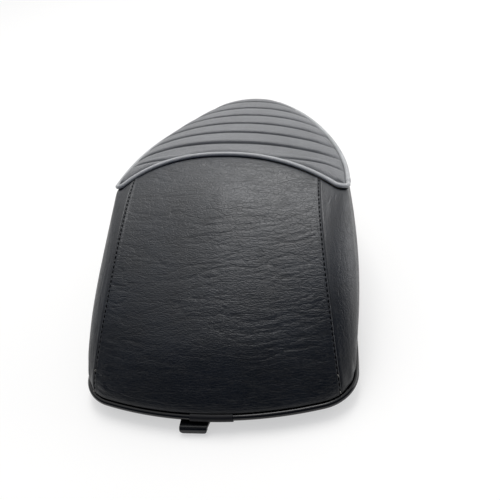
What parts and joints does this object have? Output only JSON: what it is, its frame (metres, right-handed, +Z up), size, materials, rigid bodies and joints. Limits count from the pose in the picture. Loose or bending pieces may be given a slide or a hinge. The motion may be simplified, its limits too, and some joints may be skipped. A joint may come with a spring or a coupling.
{
  "type": "scooter hump seat",
  "caption": "Single saddle for a scooter with a plain sloping hump at the rear, a cross-ribbed top, piping, a steel pan, a sprung rear catch and a front hinge.",
  "frame": {"origin": "centre of the seat's bounding box on the plane that its buffers rest on", "axes": "+X lateral, +Y towards the nose, +Z up"},
  "size_m": [0.2434, 0.429, 0.1421],
  "materials": {
    "plain_vinyl": "grained satin",
    "ribbed_vinyl": "grained satin",
    "piping_vinyl": "satin",
    "trim_gloss": "gloss",
    "sleeve_gloss": "satin",
    "catch_paint": "gloss",
    "catch_steel": "zinc plated",
    "spring_steel": "oiled",
    "hinge_paint": "satin",
    "zinc_steel": "zinc plated",
    "pan_paint": "satin",
    "foam": "open cell",
    "buffer_rubber": "matt"
  },
  "bodies": {
    "seat": {"base_pan": "pan_paint", "foam_pad": "foam", "cover_rear_panel": "plain_vinyl", "cover_side_left": "plain_vinyl", "cover_side_right": "plain_vinyl", "cover_top_ribbed": "ribbed_vinyl", "piping_welt": "piping_vinyl", "edge_trim": "trim_gloss", "trim_joint_sleeve": "sleeve_gloss", "catch_bracket": "catch_steel", "catch_pin": "catch_steel", "catch_spring": "spring_steel", "catch_rivets": "catch_steel", "hinge_seat_leaf": "hinge_paint", "hinge_pin": "catch_steel", "hinge_bolts": "zinc_steel", "hinge_nuts": "zinc_steel", "buffer_rear_left": "buffer_rubber", "buffer_rear_right": "buffer_rubber", "buffer_front_left": "buffer_rubber", "buffer_front_right": "buffer_rubber", "buffer_screws": "zinc_steel"},
    "catch": {"catch_lever": "catch_paint"},
    "frame_leaf": {"hinge_frame_leaf": "hinge_paint"}
  },
  "joints": [
    {"name": "catch_pivot", "type": "hinge", "parent": "seat", "child": "catch", "pos_m": [-0.013, -0.18301, 0.017], "axis": [1, 0, 0], "range_deg": [0, 12], "stiffness_Nm_per_rad": 0.5, "springref_deg": -20.05},
    {"name": "front_hinge", "type": "hinge", "parent": "seat", "child": "frame_leaf", "pos_m": [0, 0.18225, 0.0055], "axis": [1, 0, 0], "range_deg": [0, 95]}
  ]
}
